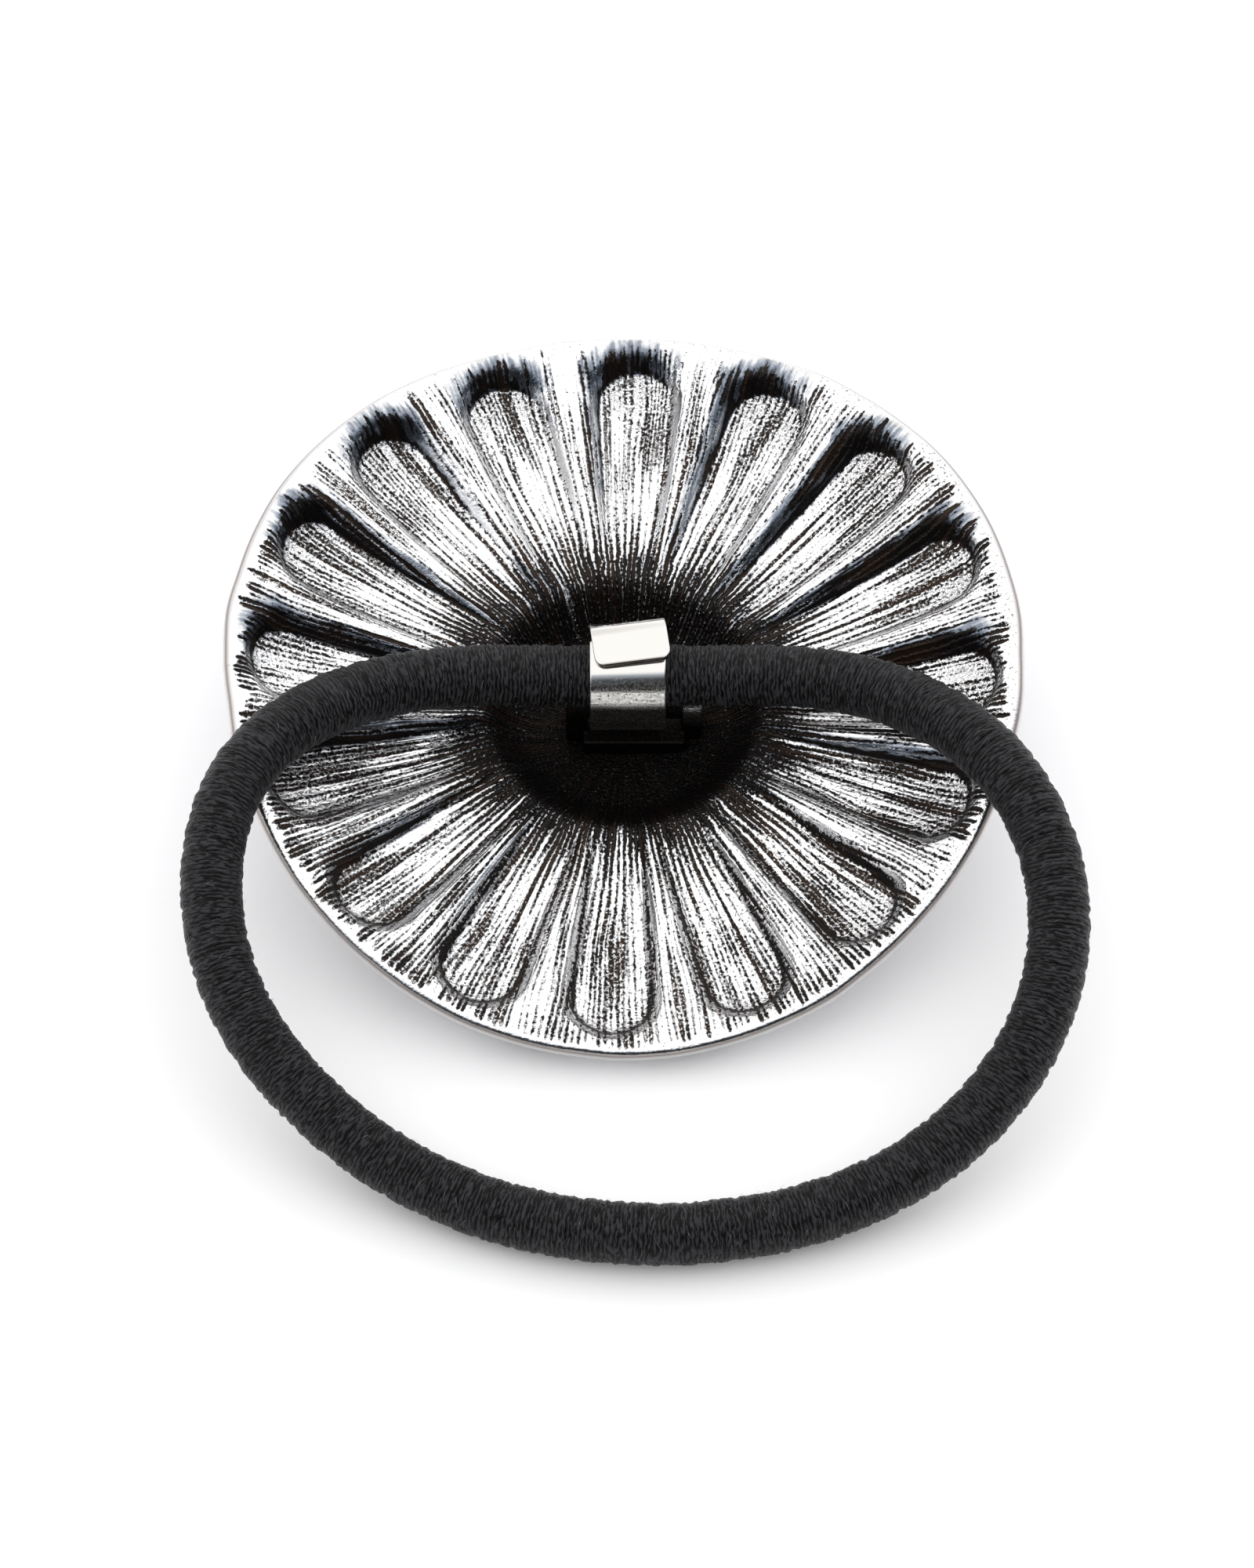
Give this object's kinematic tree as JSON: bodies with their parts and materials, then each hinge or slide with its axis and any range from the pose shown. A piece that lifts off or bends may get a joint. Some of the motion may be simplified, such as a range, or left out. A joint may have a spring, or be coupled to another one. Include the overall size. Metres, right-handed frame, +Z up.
{
  "type": "hair tie",
  "caption": "Hair tie: a round cast metal flower disc, lying face down, has a staple in its hollow centre where a folded metal strap clips on a closed loop of black covered elastic.",
  "frame": {"origin": "on the table, under the middle of the disc as it lies face down", "axes": "+Z up, away from the table; +X along the staple's bar, to the right in the picture; -Y from the disc towards the free side of the elastic loop"},
  "size_m": [0.0569, 0.0665, 0.0137],
  "materials": {
    "antique_silver": "cast zinc alloy, silver plated, blackened in its grooves and polished on its high places",
    "bright_strip": "plated strip, bent and pressed, with faint streaks and some tarnish near the bar",
    "black_elastic": "rubber core under a tight cover of fine black yarn"
  },
  "bodies": {
    "root": {"concho": "antique_silver", "clip_strap": "bright_strip", "elastic": "black_elastic"}
  },
  "joints": []
}
